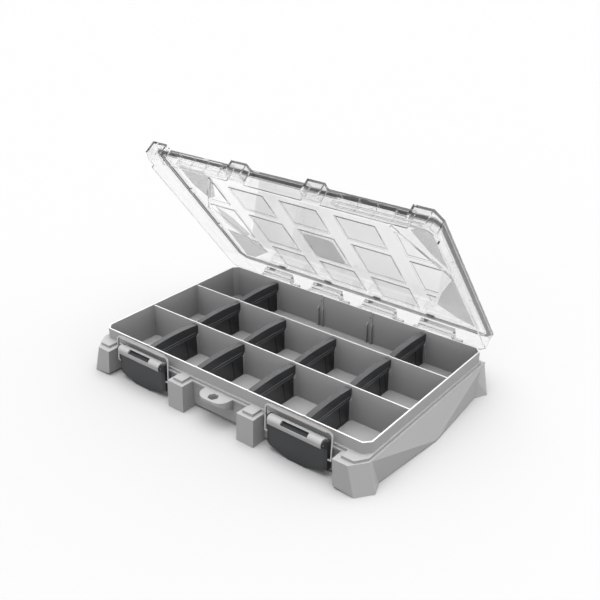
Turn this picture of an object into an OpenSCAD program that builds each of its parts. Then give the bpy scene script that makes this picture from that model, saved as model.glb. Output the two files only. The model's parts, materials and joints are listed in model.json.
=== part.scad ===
// Small-parts storage case: a grey moulded tray with three rows of compartments,
// ten lift-out dividers, a clear hinged lid with a seal, and two draw latches.
// Millimetres. X runs along the front, Y to the back, Z up. The origin is on the
// floor under the middle of the tray. The lid is drawn part open.

/* [Tray] */
// Outside length of the rim along the front
case_len = 330; // [300:5:360]
// Outside depth of the rim, front to back
case_dep = 199.6; // [180:0.2:220]
// Height of the rim's top edge above the floor
rim_top = 43; // [42.5:0.5:50]
// Thickness of the rim wall
rim_wall = 1.5; // [1.2:0.1:2]
// Length along the front that each rim corner's chamfer takes
rim_chamfer_x = 5.8; // [3:0.1:8]
// Length along the side that each rim corner's chamfer takes
rim_chamfer_y = 6.3; // [3:0.1:8]
// Height of the tray's underside above the floor
belly = 3; // [2:0.1:4]
// Thickness of the compartment floor
floor_t = 2.4; // [1.6:0.1:3]
// Thickness of the two fixed walls between the rows
row_wall = 1.4; // [1:0.1:2]
// How far the fixed walls stop below the rim's top
row_wall_drop = 0.8; // [0.4:0.1:2]

/* [Ledges] */
// How far the upper ledge stands out from the rim
upper_ledge = 1.7; // [1:0.1:2]
// Height of the upper ledge
upper_ledge_top = 31.5; // [31:0.1:33]
// How far the lower ledge stands out from the rim
lower_ledge = 3.3; // [2.5:0.1:3.6]
// Height of the lower ledge and of the posts
lower_ledge_top = 28.7; // [27:0.1:29]
// Thickness of the lower ledge
lower_ledge_t = 2.2; // [1.5:0.1:3]
// How far the front and back walls stand out from the rim, below the ledges
lower_wall = 2.4; // [1.8:0.1:3]

/* [Posts and feet] */
// Distance from the middle dividers' line to a middle post's inner side
post_step = 1.5; // [0:0.1:2]
// Width of a middle post
post_w = 20.2; // [16:0.2:20.4]
// How far the posts stand out from the rim at the top
post_out = 17; // [14:0.1:18]
// How much further the posts and feet stand out at the floor
post_flare = 1.2; // [0.2:0.1:1.2]
// Width of a corner post, measured from the rim's end
corner_w = 22.6; // [20:0.2:22.8]
// Thickness of the walls of the posts and feet, which are open below
post_wall = 2.2; // [1.6:0.1:3]
// How far a post's raised pad stays back from the post's edges
pad_inset = 4; // [3:0.1:5]
// Widest reach of the feet past the rim's ends
foot_out = 12.4; // [10:0.1:13]
// Widest reach of the faceted side past the rim's end, in the middle of the side
side_out = 13.1; // [8:0.1:14]
// Height of the faceted side's lower edge above the floor
side_low = 1; // [0.5:0.1:2]
// Depth of the outer pocket under the faceted side, from its lower edge
side_pocket = 9; // [4:0.5:10]

/* [Compartment ribs] */
// Free gap between the two ribs that hold a divider
rib_gap = 5.2; // [4.8:0.1:5.6]
// Thickness of a rib
rib_t = 1; // [0.8:0.1:1.4]
// How far a rib stands out from its wall
rib_out = 3; // [2:0.1:3.4]
// Height of a rib above the compartment floor
rib_high = 24.6; // [16:0.2:25]
// Height of the slanted end of a rib
rib_slant = 3; // [1:0.1:4]
// Width of the small bead on top of a wall at each divider
bead_w = 2.6; // [1.6:0.1:3]
// Height of that bead
bead_h = 0.4; // [0.2:0.1:0.6]

/* [Dividers] */
// Free gap between a divider's end and the wall
divider_gap = 0.3; // [0.3:0.05:0.6]
// Thickness of a divider's upper beam
beam_t = 6.2; // [5:0.1:6.6]
// Thickness of a divider's lower web
web_t = 5; // [4.6:0.1:5.4]
// Thickness of the tongues that stand between the ribs
tongue_t = 4.4; // [4:0.1:4.5]
// How far a divider's ends stop below the rim's top
divider_drop = 2.8; // [2.6:0.1:5]
// Rise of the arched top in its middle
divider_rise = 2; // [1:0.1:2]
// Depth of the upper beam below the divider's end height
beam_deep = 11; // [8:0.1:12]
// Height of the slant under each end of the beam
beam_slant = 3.2; // [2:0.1:4]
// Depth of the recesses in a divider's faces
face_recess = 0.5; // [0.3:0.1:0.7]
// Border left round those recesses
face_border = 2; // [1.4:0.1:3]

/* [Lid] */
// How far the lid is open as drawn, in degrees
lid_open = 52.24; // [40:0.01:60]
// Thickness of the lid plate
lid_t = 2; // [1.6:0.1:2.6]
// Height of the seal, which fills the gap between rim and plate
seal_h = 1; // [0.8:0.1:1.6]
// Gap left between the seal and the rim's beads when the lid is shut
seal_gap = 0.1; // [0.1:0.05:0.5]
// Width of the seal
seal_w = 3.4; // [2.6:0.1:3.6]
// How far the lid's skirt stands out from the rim
skirt_out = 4; // [3.8:0.1:4.4]
// Thickness of the skirt
skirt_t = 1.8; // [1.2:0.1:1.9]
// Gap between the skirt's lower edge and the lower ledge
skirt_gap = 0.5; // [0.4:0.1:1]
// Thickness of the walls of the lid's four front lugs
lug_t = 1.8; // [1.2:0.1:2.2]
// Gap between the lugs' lower edges and the pads on the posts
lug_gap = 0.5; // [0.4:0.1:1]
// How far the panels and ribs stand down under the plate
rib_drop = 1.1; // [0.4:0.1:1.2]
// How far the panels are sunk into the plate's top
panel_sink = 1; // [0.4:0.1:1.2]
// Width of the step round a sunk panel
panel_step = 1.6; // [1:0.1:2.4]
// Width of the panels
panel_w = 46; // [36:1:50]
// Width of the slanted ribs under the plate
slant_rib_w = 2.4; // [1.6:0.1:3]
// How far those ribs stand down under the plate
slant_rib_drop = 1.8; // [1.1:0.1:1.8]
// Width of the ring that guides the lid inside the rim
guide_t = 1.2; // [0.8:0.1:1.6]
// Height of that ring
guide_h = 1.9; // [1:0.1:1.9]
// Gap between that ring and the seal
guide_gap = 0.4; // [0.2:0.1:0.8]
// Length of the blocks on that ring, beside the walls and dividers
block_len = 8; // [4:0.5:12]
// Width of those blocks
block_w = 4; // [2:0.5:6]
// Thickness of the small ribs inside the skirt
skirt_rib_t = 1; // [0.6:0.1:1.4]
// How far those ribs stand in from the skirt
skirt_rib_in = 1; // [0.6:0.1:1.1]
// Distance between those ribs, four to each latch
skirt_rib_pitch = 18.8; // [16:0.1:19.6]
// How far the catch for a latch stands out from the skirt
catch_out = 2.6; // [1.4:0.1:2.8]
// Height of that catch
catch_h = 5; // [2:0.1:8]
// Gap between the catch and the bail's bar when the latch is shut
catch_gap = 0.5; // [0.4:0.1:1.5]

/* [Hinge] */
// Distance of the hinge pin behind the rim
hinge_out = 14.2; // [13.8:0.1:15]
// Height of the hinge pin above the floor
hinge_z = 34.6; // [34:0.1:36]
// Radius of the hinge barrels on the lid
barrel_r = 3; // [2.6:0.1:3.4]
// Radius of the snap-in ears that hold the pins
ear_r = 2.8; // [2.6:0.1:3.2]
// How far the ears' feet reach behind the hinge line
ear_out = 4; // [3.4:0.1:4]
// Height of the ears' open mouths above the hinge line
ear_mouth = 0.8; // [0.6:0.1:1]
// Radius of the hinge pins
hinge_pin_r = 1.5; // [1.2:0.1:2]
// Running clearance of a pin in its bore
pin_play = 0.05; // [0.02:0.01:0.09]
// Width of one hinge barrel on the lid
lid_barrel_w = 40; // [30:1:42]
// Width of one hinge ear on the tray
ear_w = 8; // [6:0.5:10]
// Side gap between a barrel and an ear
ear_gap = 0.4; // [0.3:0.1:0.8]
// Distance from the rim's end to the middle of the outer hinge
hinge_end = 58.5; // [50:0.5:62]

/* [Latches] */
// Distance of the latch bar's pivot in front of the rim
pivot_out = 12.6; // [12.4:0.1:13]
// Height of the latch bar's pivot
pivot_z = 34.3; // [34:0.1:34.6]
// Radius of the lever's pin
lever_pin_r = 1.5; // [1.2:0.1:1.6]
// Half length of the latch bar
bar_half = 29.5; // [26:0.5:30]
// Distance from the pivot to the bar's front and lower faces
bar_front = 2.8; // [2.6:0.1:2.9]
// Distance from the pivot to the bar's back face
bar_back = 3.9; // [3:0.1:4]
// Distance from the pivot to the bar's top face
bar_top = 4.6; // [4:0.1:4.6]
// Radius of the bar's rounded upper front edge
bar_round = 4.6; // [3:0.1:4.6]
// Half length of the slot in the bar's upper front
slot_half = 14.8; // [10:0.2:18]
// Width of that slot
slot_w = 4.4; // [2:0.1:4.8]
// How steeply that slot faces up, in degrees from straight ahead
slot_tilt = 79; // [60:1:84]
// Half width of the lever
lever_half = 33; // [32:0.1:34]
// Gap between the lever's cheeks and the bar's ends
cheek_gap = 0.4; // [0.3:0.1:0.8]
// Thickness of the lever's front plate
lever_t = 2.4; // [2:0.1:3]
// Depth of the lever from front to back
lever_deep = 7; // [5:0.1:7.2]
// Thickness of the lever's side flanges
flange_t = 2.2; // [1.8:0.1:2.6]
// Height of the lever's lowest edge above the floor
lever_low = 0.9; // [0.6:0.1:3]
// Height of the lever's lower side corners
lever_side_low = 8; // [6:0.2:10]
// Half width of the lever's lowest edge
lever_toe = 10; // [6:0.5:14]
// Radius of the bail wire
wire_r = 1.1; // [0.9:0.1:1.2]
// Radius of the bail's thicker top bar
bail_bar_r = 1.8; // [1.2:0.1:1.9]
// Distance from the bail's pivot to its top bar
bail_len = 26.8; // [26:0.1:28]
// Height of the bail's pivot on the lever
bail_pivot_z = 19; // [18:0.1:20]
// Distance of the bail's pivot in front of the rim
bail_pivot_out = 9.4; // [9:0.1:9.6]
// Gap between the lever's side and the bail's leg
bail_gap = 2.4; // [1.6:0.1:2.6]
// Inner radius of the bail's bends
bail_bend = 3; // [2:0.1:4]
// Lean of the bail towards the rim, in degrees
bail_lean = 3.1; // [2:0.1:4]

/* [Front tab] */
// Half width of the tab in the middle of the front
tab_half = 17.3; // [14:0.1:18]
// How far the tab reaches in front of the rim
tab_out = 18.2; // [15:0.1:18.2]
// Radius of the tab's corners
tab_round = 12; // [6:0.5:15]
// Thickness of the tab
tab_t = 3; // [2:0.1:4]
// Distance from corner to corner of the tab's six-sided hole
tab_hole = 10.8; // [8:0.1:12]
// Distance of that hole's middle in front of the rim
tab_hole_out = 10.8; // [9:0.1:12]
// Height of the tab's sloping underside where it meets the wall
tab_root = 13; // [8:0.2:16]

/* [Hidden] */
$fn = 48;
ROWS = 3;
COLS = 5;
over = 1;
sink = 0.6;
half_x = case_len / 2;
half_y = case_dep / 2;
floor_z = belly + floor_t;
row_w = (case_dep - 2 * rim_wall - (ROWS - 1) * row_wall) / ROWS;
row_pitch = row_w + row_wall;
col_pitch = case_len / COLS;
wall_top = rim_top - row_wall_drop;
divider_end = rim_top - divider_drop - floor_z;
skin = 0.03;
HINGES = 4;
hinge_pitch = (case_len - 2 * hinge_end) / (HINGES - 1);
post_in = col_pitch / 2 + post_step;
corner_in = half_x - corner_w;
latch_x = (post_in + post_w + corner_in) / 2;
bail_half = lever_half + bail_gap + wire_r;

// Lid heights as the lid lies shut
plate_low = rim_top + bead_h + seal_gap + seal_h;
plate_top = plate_low + lid_t;
skirt_low = lower_ledge_top + skirt_gap;
lug_low = upper_ledge_top + lug_gap;
lug_front = post_out - pad_inset;
hinge_y = half_y + hinge_out;
lid_arm_y = half_y + skirt_out - sink;
lug_edge = corner_in + over;
lug_in = post_in - sink;
lug_out = post_in + post_w + sink;
lug_cut = 2;
lug_corner = half_x - lug_cut;
ear_clear = 1.2;

// Foot and facet corners, as shares of the rim's half depth
foot_back_share = 0.888;
side_mid_share = 0.066;
rear_mid_share = 0.785;
rear_foot_share = 0.911;
side_pocket_share = [0.75, 0.5];
corner_x = half_x - rim_chamfer_x;
post_corner_cut = 8.3;
post_corner_x = half_x - post_corner_cut;
flare_corner_cut = 0.7;
flare_corner_x = half_x - flare_corner_cut;
front_in_y = -half_y + upper_ledge;
post_y = -half_y - post_out;
flare_y = post_y - post_flare;
foot_side_out = 2.8;
foot_side_y = -half_y - foot_side_out;
facet_x = half_x + lower_ledge - post_corner_x;
facet_share = facet_x / (-half_y - upper_ledge - post_y);
foot_x = flare_corner_x + (foot_side_y - flare_y) * facet_share;
corner_draft = 1.3;
corner_top_in = corner_in - corner_draft;
corner_low_in = corner_in + corner_draft / 2;
corner_lift = 2.8;
corner_lift_y = flare_y + post_flare * corner_lift / lower_ledge_top;
corner_touch_x = corner_in + pad_inset;
pad_corner_cut = 5.7;
pad_corner_x = half_x - pad_corner_cut;
pad_corner_out = 11.6;
pad_corner_y = -half_y - pad_corner_out;
pad_end_y = -half_y + rim_chamfer_y + upper_ledge;
side_x = half_x + side_out;
side_front_out = 5;
foot_back_x = half_x + side_front_out;
side_rear_out = 7;
rear_mid_x = half_x + side_rear_out;
rear_foot_x = half_x + foot_out + post_flare;

// Panels, patches and slanted ribs under the plate, in shares of the half sizes
panel_rows_share = [-0.435, 0.113, 0.66];
panel_deep_share = [0.39, 0.52, 0.40];
slant_a_share = [0.66, -0.72];
slant_b_share = [0.921, -0.07];
slant_c_share = [0.921, -0.03];
slant_d_share = [0.667, 0.665];

// Latch
bar_long = 2 * bar_half;
cheek_in = bar_half + cheek_gap;
plate_back = 0.6;
lever_front = pivot_out - plate_back;
lever_back = lever_front - lever_deep;
lever_top_gap = 1.4;
lever_top = pivot_z - bar_front - lever_top_gap;
cheek_r = 3.6;
cheek_top = pivot_z + cheek_r;
cheek_bevel = 1.4;
cheek_front = pivot_out + cheek_r - cheek_bevel / 4;
cheek_back = lever_front - cheek_bevel;
pin_bite = 1.3;
bar_post_w = 2.6;
bar_post_inset = 8;
bar_post_x = bar_half - bar_post_inset;
bail_bar_z = bail_pivot_z + bail_len * cos(bail_lean);
catch_top = bail_bar_z - bail_bar_r - catch_gap;

// The rim's outline, grown on every side; its corners stay chamfered
module rim_outline(grow = 0) {
    x = half_x + grow;
    y = half_y + grow;
    cx = rim_chamfer_x + grow / 2;
    cy = rim_chamfer_y + grow / 2;
    polygon([
        [-x + cx, -y], [x - cx, -y], [x, -y + cy], [x, y - cy],
        [x - cx, y], [-x + cx, y], [-x, y - cy], [-x, -y + cy]
    ]);
}

module rim_ring(outer, inner) {
    difference() {
        rim_outline(outer);
        rim_outline(inner);
    }
}

// A slab of an outline between two heights
module slab(low, high) {
    translate([0, 0, low])
        linear_extrude(height = high - low) children();
}

// A profile drawn as (y, z), run along X by half on each side of x
module across(x, half) {
    translate([x - half, 0, 0])
        rotate([90, 0, 90])
            linear_extrude(height = 2 * half) children();
}

// A face drawn as (x, z), given a depth from y = front towards the back
module facing(front, deep) {
    translate([0, front + deep, 0])
        rotate([90, 0, 0])
            linear_extrude(height = deep) children();
}

module rod(x, half, y, z, r) {
    translate([x - half, y, z])
        rotate([0, 90, 0]) cylinder(h = 2 * half, r = r);
}

module both_sides() {
    children();
    mirror([1, 0, 0]) children();
}

function row_y(row) = (row - (ROWS - 1) / 2) * row_pitch;
function wall_y(i) = (i - ROWS / 2) * row_pitch;
function divider_x(i) = (i - COLS / 2) * col_pitch;
function hinge_x(i) = (i - (HINGES + 1) / 2) * hinge_pitch;

// Plan of a corner post's top, at the right
function corner_top() = [
    [corner_top_in, front_in_y], [corner_top_in, post_y], [post_corner_x, post_y],
    [half_x + lower_ledge, -half_y - upper_ledge], [half_x + lower_ledge, front_in_y]
];

module corner_post() {
    hull() {
        slab(lower_ledge_top - skin, lower_ledge_top) polygon(corner_top());
        slab(corner_lift, corner_lift + skin) polygon([
            [corner_low_in, front_in_y], [corner_low_in, corner_lift_y], [half_x, front_in_y]
        ]);
        slab(0, skin) polygon([
            [corner_touch_x, front_in_y], [flare_corner_x, flare_y],
            [foot_x, foot_side_y], [foot_back_x, -half_y * foot_back_share],
            [half_x, -half_y * foot_back_share]
        ]);
    }
}

module faceted_side() {
    hull() {
        slab(lower_ledge_top - skin, lower_ledge_top)
            translate([half_x, -half_y - upper_ledge])
                square([lower_ledge, case_dep + 2 * upper_ledge]);
        slab(side_low, side_low + skin) polygon([
            [half_x, -half_y * foot_back_share], [foot_back_x, -half_y * foot_back_share],
            [side_x, -half_y * side_mid_share], [rear_mid_x, half_y * rear_mid_share],
            [half_x, half_y * rear_mid_share]
        ]);
    }
}

// Space under the faceted side, in two steps that keep a wall outside
module side_hollow() {
    x = half_x + lower_wall;
    for (step = [0, 1]) {
        high = side_low + (1 + step) * side_pocket;
        up = high / lower_ledge_top;
        reach = side_out + (lower_ledge - side_out) * up - post_wall;
        share = side_pocket_share[step];
        slab(-over, high) polygon([
            [x, -half_y * share], [half_x + reach, -half_y * side_mid_share],
            [x, half_y * share]
        ]);
    }
}

module rear_foot() {
    hull() {
        slab(lower_ledge_top - skin, lower_ledge_top) polygon([
            [corner_x, half_y], [half_x, half_y * rear_mid_share],
            [half_x + lower_ledge, half_y * rear_foot_share],
            [half_x + lower_ledge, half_y], [corner_x, half_y + lower_ledge]
        ]);
        slab(0, skin) polygon([
            [corner_x, half_y * rear_mid_share], [rear_mid_x, half_y * rear_mid_share],
            [rear_foot_x, half_y * rear_foot_share], [corner_x, half_y + lower_ledge]
        ]);
    }
}

// A middle post, leaning out a little towards the floor, open below
module middle_post() {
    mid = post_in + post_w / 2;
    difference() {
        across(mid, post_w / 2) polygon([
            [front_in_y, 0], [flare_y, 0], [post_y, lower_ledge_top],
            [front_in_y, lower_ledge_top]
        ]);
        across(mid, post_w / 2 - post_wall) polygon([
            [-half_y - lower_wall, -over], [flare_y + post_wall, -over],
            [post_y + post_wall, lower_ledge_top - post_wall],
            [-half_y - lower_wall, lower_ledge_top - post_wall]
        ]);
    }
    slab(lower_ledge_top - sink, upper_ledge_top)
        translate([post_in + pad_inset, -half_y - lug_front])
            square([post_w - 2 * pad_inset, lug_front + sink]);
}

// Space under a corner post, and the raised pad on it
module corner_hollow() {
    slab(-over, lower_ledge_top - post_wall) polygon([
        [corner_low_in + post_wall, -half_y - lower_wall],
        [corner_low_in + post_wall, post_y + post_wall],
        [post_corner_x - post_wall, post_y + post_wall],
        [half_x + lower_ledge - 2 * post_wall, -half_y - lower_wall]
    ]);
}

module corner_pad() {
    slab(lower_ledge_top - sink, upper_ledge_top) polygon([
        [corner_in + pad_inset, front_in_y], [corner_in + pad_inset, pad_corner_y],
        [pad_corner_x, pad_corner_y], [half_x + upper_ledge, -half_y - sink],
        [half_x + upper_ledge, pad_end_y], [half_x - sink, pad_end_y]
    ]);
}

// One rib that guides a divider, standing on the wall at y = 0 and facing +Y
module rib(x) {
    across(x, rib_t / 2) polygon([
        [-sink, floor_z - sink], [rib_out, floor_z - sink],
        [rib_out, floor_z + rib_high - rib_slant], [0, floor_z + rib_high],
        [-sink, floor_z + rib_high]
    ]);
}

module rib_pair(x) {
    for (s = [-1, 1]) rib(x + s * (rib_gap + rib_t) / 2);
}

module ribs() {
    for (row = [0 : ROWS - 1], i = [1 : COLS - 1]) {
        translate([0, row_y(row) - row_w / 2, 0]) rib_pair(divider_x(i));
        translate([0, row_y(row) + row_w / 2, 0]) mirror([0, 1, 0]) rib_pair(divider_x(i));
    }
}

module bead(x, y, top, wall) {
    translate([x - bead_w / 2, y - wall / 2, top - sink])
        cube([bead_w, wall, sink + bead_h]);
}

module beads() {
    for (i = [1 : COLS - 1]) {
        for (s = [-1, 1]) bead(divider_x(i), s * (half_y - rim_wall / 2), rim_top, rim_wall);
        for (w = [1 : ROWS - 1]) bead(divider_x(i), wall_y(w), wall_top, row_wall);
    }
}

// The bar that a latch lever hangs on, with its slot and two posts to the tray
module latch_bar() {
    y = -half_y - pivot_out;
    top = pivot_z + bar_top;
    front = y - bar_front;
    post_mid = y + bar_back;
    skirt_clear_y = -half_y - skirt_out - ear_clear;
    for (s = [-1, 1])
        across(latch_x + s * bar_post_x, bar_post_w / 2) polygon([
            [-half_y, lower_ledge_top - lower_ledge_t - bar_top], [-half_y, lower_ledge_top],
            [skirt_clear_y, lower_ledge_top], [skirt_clear_y, pivot_z],
            [post_mid - sink, pivot_z], [post_mid - sink, pivot_z - bar_front],
            [post_mid + sink, lower_ledge_top - lower_ledge_t]
        ]);
    difference() {
        across(latch_x, bar_half) difference() {
            translate([front, pivot_z - bar_front])
                square([bar_front + bar_back, bar_front + bar_top]);
            translate([front, top - bar_round]) difference() {
                translate([-over, 0]) square([bar_round + over, bar_round + over]);
                translate([bar_round, 0]) circle(r = bar_round);
            }
        }
        rod(latch_x, bar_half + over, y, pivot_z, lever_pin_r + pin_play);
        translate([latch_x, y, pivot_z]) rotate([-slot_tilt, 0, 0])
            translate([-slot_half, -bar_round - over, -slot_w / 2])
                cube([2 * slot_half, bar_round + over, slot_w]);
    }
}

// The tab in the middle of the front, with round corners and a sloping underside
module front_tab() {
    top = lower_ledge_top;
    front = -half_y - tab_out;
    difference() {
        intersection() {
            slab(top - tab_root, top) {
                translate([-tab_half, front + tab_round])
                    square([2 * tab_half, tab_out - tab_round]);
                translate([tab_round - tab_half, front])
                    square([2 * (tab_half - tab_round), tab_out]);
                for (s = [-1, 1])
                    translate([s * (tab_half - tab_round), front + tab_round])
                        circle(r = tab_round);
            }
            across(0, tab_half) polygon([
                [-half_y, top], [front, top], [front, top - tab_t], [-half_y, top - tab_root]
            ]);
        }
        translate([0, -half_y - tab_hole_out, top - tab_root - over])
            cylinder(h = tab_root + 2 * over, r = tab_hole / 2, $fn = 6);
    }
}

// One pair of ears on the back: snap-in cradles, open at the top, for a hinge pin
module hinge_ears(x) {
    root = half_y + sink;
    reach = half_y + skirt_out + ear_clear;
    mid = (lid_barrel_w + ear_w) / 2 + ear_gap;
    low = hinge_z - 2 * ear_r;
    mouth = hinge_z + ear_mouth;
    for (s = [-1, 1]) difference() {
        union() {
            across(x + s * mid, ear_w / 2) polygon([
                [root, lower_ledge_top - 4 * ear_r], [root, lower_ledge_top - sink],
                [reach, lower_ledge_top - sink], [hinge_y - ear_r, hinge_z],
                [hinge_y + ear_r, hinge_z], [hinge_y + ear_out, low + sink],
                [hinge_y + ear_out, low - ear_out]
            ]);
            rod(x + s * mid, ear_w / 2, hinge_y, hinge_z, ear_r);
        }
        rod(x + s * mid, ear_w / 2 + over, hinge_y, hinge_z, hinge_pin_r);
        across(x + s * mid, ear_w / 2 + over) translate([hinge_y - barrel_r, mouth])
            square([2 * barrel_r, barrel_r]);
    }
}

module tray_shell() {
    slab(belly, rim_top) rim_outline();
    slab(belly, lower_ledge_top) rim_outline(lower_wall);
    slab(lower_ledge_top - lower_ledge_t, upper_ledge_top) rim_outline(upper_ledge);
    slab(lower_ledge_top - lower_ledge_t, lower_ledge_top) rim_outline(lower_ledge);
}

module base_tray() color("darkgray") {
    difference() {
        union() {
            difference() {
                union() {
                    tray_shell();
                    both_sides() {
                        corner_post();
                        faceted_side();
                        rear_foot();
                    }
                }
                both_sides() {
                    corner_hollow();
                    side_hollow();
                }
            }
            both_sides() {
                middle_post();
                corner_pad();
                latch_bar();
            }
            front_tab();
        }
        slab(floor_z, rim_top + over) rim_outline(-rim_wall);
    }
    for (w = [1 : ROWS - 1])
        translate([-half_x + sink, wall_y(w) - row_wall / 2, floor_z - sink])
            cube([case_len - 2 * sink, row_wall, wall_top - floor_z + sink]);
    ribs();
    beads();
    for (i = [1 : 4]) hinge_ears(hinge_x(i));
}

// Turns a lid piece, drawn shut, to the angle at which the lid stands
module lid_pose() {
    translate([0, hinge_y, hinge_z]) rotate([-lid_open, 0, 0])
        translate([0, -hinge_y, -hinge_z]) children();
}

// Plans of the lid's front lugs, which close over the pads on the posts
module lug_plans(back = 0) {
    y = -half_y - lug_front;
    bevel = upper_ledge;
    both_sides() {
        polygon([
            [lug_in, back - half_y], [lug_in + bevel, y], [lug_out, y], [lug_out, back - half_y]
        ]);
        polygon([
            [lug_edge, back - half_y], [lug_edge, y], [lug_corner, y],
            [half_x + skirt_out, -half_y], [half_x + skirt_out, back - half_y + rim_chamfer_y]
        ]);
    }
}

module lug_walls() {
    difference() {
        lug_plans();
        offset_plans();
        rim_outline(skirt_out - skirt_t);
    }
}

// The lug plans drawn smaller by the lugs' wall, from the same corners
module offset_plans() {
    y = -half_y - lug_front + lug_t;
    both_sides() {
        translate([lug_in + upper_ledge + lug_t, y])
            square([lug_out - lug_in - upper_ledge - 2 * lug_t, lug_front]);
        polygon([
            [lug_edge + lug_t, 0 - half_y], [lug_edge + lug_t, y],
            [lug_corner - lug_t, y], [half_x + skirt_out - lug_t, -half_y],
            [half_x + skirt_out - lug_t, -half_y + rim_chamfer_y]
        ]);
    }
}

// The field of the panels, between the slanted ribs, drawn in on every side
module panel_field(in) {
    edge = slant_rib_w + in;
    a = slant_a_share;
    b = slant_b_share;
    c = slant_c_share;
    d = slant_d_share;
    both_sides() polygon([
        [-over, -half_y], [a[0] * half_x - edge, a[1] * half_y - edge],
        [a[0] * half_x - edge, a[1] * half_y], [b[0] * half_x - edge, b[1] * half_y],
        [c[0] * half_x - edge, c[1] * half_y], [d[0] * half_x - edge, d[1] * half_y],
        [d[0] * half_x - edge, half_y], [-over, half_y]
    ]);
}

module lid_panels(in = 0) {
    intersection() {
        panel_field(in);
        for (row = [0 : ROWS - 1], i = [0 : COLS - 1]) {
            deep = half_y * panel_deep_share[row] - 2 * in;
            wide = panel_w - 2 * in;
            cut = panel_step / 2;
            translate([(i - (COLS - 1) / 2) * col_pitch, half_y * panel_rows_share[row]])
                difference() {
                    square([wide, deep], center = true);
                    for (sx = [-1, 1], sy = [-1, 1])
                        translate([sx * wide / 2, sy * deep / 2]) rotate(45)
                            square(cut, center = true);
                }
        }
    }
}

// Blocks on the guide ring beside each divider and each wall between rows
module guide_blocks(ring) {
    for (i = [1 : COLS - 1], s = [-1, 1])
        translate([divider_x(i) - block_len / 2, s * (half_y + ring) - block_w / 2])
            square([block_len, block_w]);
    for (w = [1 : ROWS - 1], s = [-1, 1])
        translate([s * (half_x + ring) - block_w / 2, wall_y(w) - block_len / 2])
            square([block_w, block_len]);
}

module skirt_ribs() {
    inner = skirt_out - skirt_t - skirt_rib_in;
    deep = skirt_rib_in + sink;
    both_sides() for (i = [-3 : 2 : 3])
        translate([latch_x + i * skirt_rib_pitch / 2 - skirt_rib_t / 2, -half_y - inner - deep])
            square([skirt_rib_t, deep]);
}

module slant_rib(a, b) {
    from = [a[0] * half_x, a[1] * half_y];
    to = [b[0] * half_x, b[1] * half_y];
    run = to - from;
    translate(from) rotate(atan2(run[1], run[0]))
        translate([0, -slant_rib_w / 2]) square([norm(run), slant_rib_w]);
}

module hinge_arm(x) {
    half = lid_barrel_w / 2;
    difference() {
        union() {
            across(x, half) polygon([
                [lid_arm_y, hinge_z - barrel_r + sink], [lid_arm_y, plate_low - lid_t],
                [hinge_y - barrel_r / 2, hinge_z + 2 * barrel_r - lid_t],
                [hinge_y, hinge_z + barrel_r],
                [hinge_y, hinge_z - barrel_r]
            ]);
            rod(x, half, hinge_y, hinge_z, barrel_r);
        }
        rod(x, half + over, hinge_y, hinge_z, hinge_pin_r + pin_play);
    }
}

module lid_plate() {
    difference() {
        union() {
            slab(plate_low - rib_drop, plate_top) lid_panels();
            slab(plate_low - slant_rib_drop, plate_top) intersection() {
                rim_outline(skirt_out - skirt_t);
                both_sides() {
                    slant_rib(slant_a_share, slant_b_share);
                    slant_rib(slant_c_share, slant_d_share);
                }
            }
        }
        slab(plate_top - panel_sink, plate_top + over) lid_panels(panel_step);
    }
    slab(plate_low, plate_top) difference() {
        union() {
            rim_outline(skirt_out);
            lug_plans();
        }
        lid_panels(panel_step / 2);
    }
}

module lid_shell() color("whitesmoke", 0.5) lid_pose() {
    lid_plate();
    slab(lug_low, plate_low + sink) rim_ring(skirt_out, skirt_out - skirt_t);
    slab(skirt_low, lug_low + sink) difference() {
        rim_ring(skirt_out, skirt_out - skirt_t);
        translate([-lug_out, -half_y - skirt_out - over])
            square([lug_out - lug_in, skirt_out + over]);
        translate([lug_in, -half_y - skirt_out - over])
            square([lug_out - lug_in, skirt_out + over]);
        both_sides() translate([lug_edge, -half_y - skirt_out - over])
            square([case_len, skirt_out + over + rim_chamfer_y + lower_ledge]);
    }
    slab(lug_low, plate_low + sink) lug_walls();
    ring = -rim_wall / 2 - seal_w / 2 - guide_gap;
    slab(plate_low - guide_h, plate_low + sink) rim_ring(ring, ring - guide_t);
    slab(plate_low - rib_drop, plate_low + sink) guide_blocks(ring - block_w / 2);
    slab(lug_low + lug_gap, plate_low + sink) skirt_ribs();
    both_sides() translate([latch_x - bar_half, -half_y - skirt_out - catch_out, catch_top - catch_h])
        cube([bar_long, catch_out + sink, catch_h]);
    for (i = [1 : 4]) hinge_arm(hinge_x(i));
}

module lid_seal() color("dimgray") lid_pose() {
    mid = -rim_wall / 2;
    slab(plate_low - seal_h, plate_low) rim_ring(mid + seal_w / 2, mid - seal_w / 2);
}

module hinge_pin(i) color("silver") {
    half = lid_barrel_w / 2 + ear_gap + ear_w;
    rod(hinge_x(i), half, hinge_y, hinge_z, hinge_pin_r);
}

// The lever's outline as seen from the front, about x = 0
module lever_face(in = 0) {
    w = lever_half - in;
    low = lever_low + in;
    polygon([
        [-w, lever_top], [w, lever_top], [w, lever_side_low + in / 2],
        [lever_toe, low], [-lever_toe, low], [-w, lever_side_low + in / 2]
    ]);
}

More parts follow.
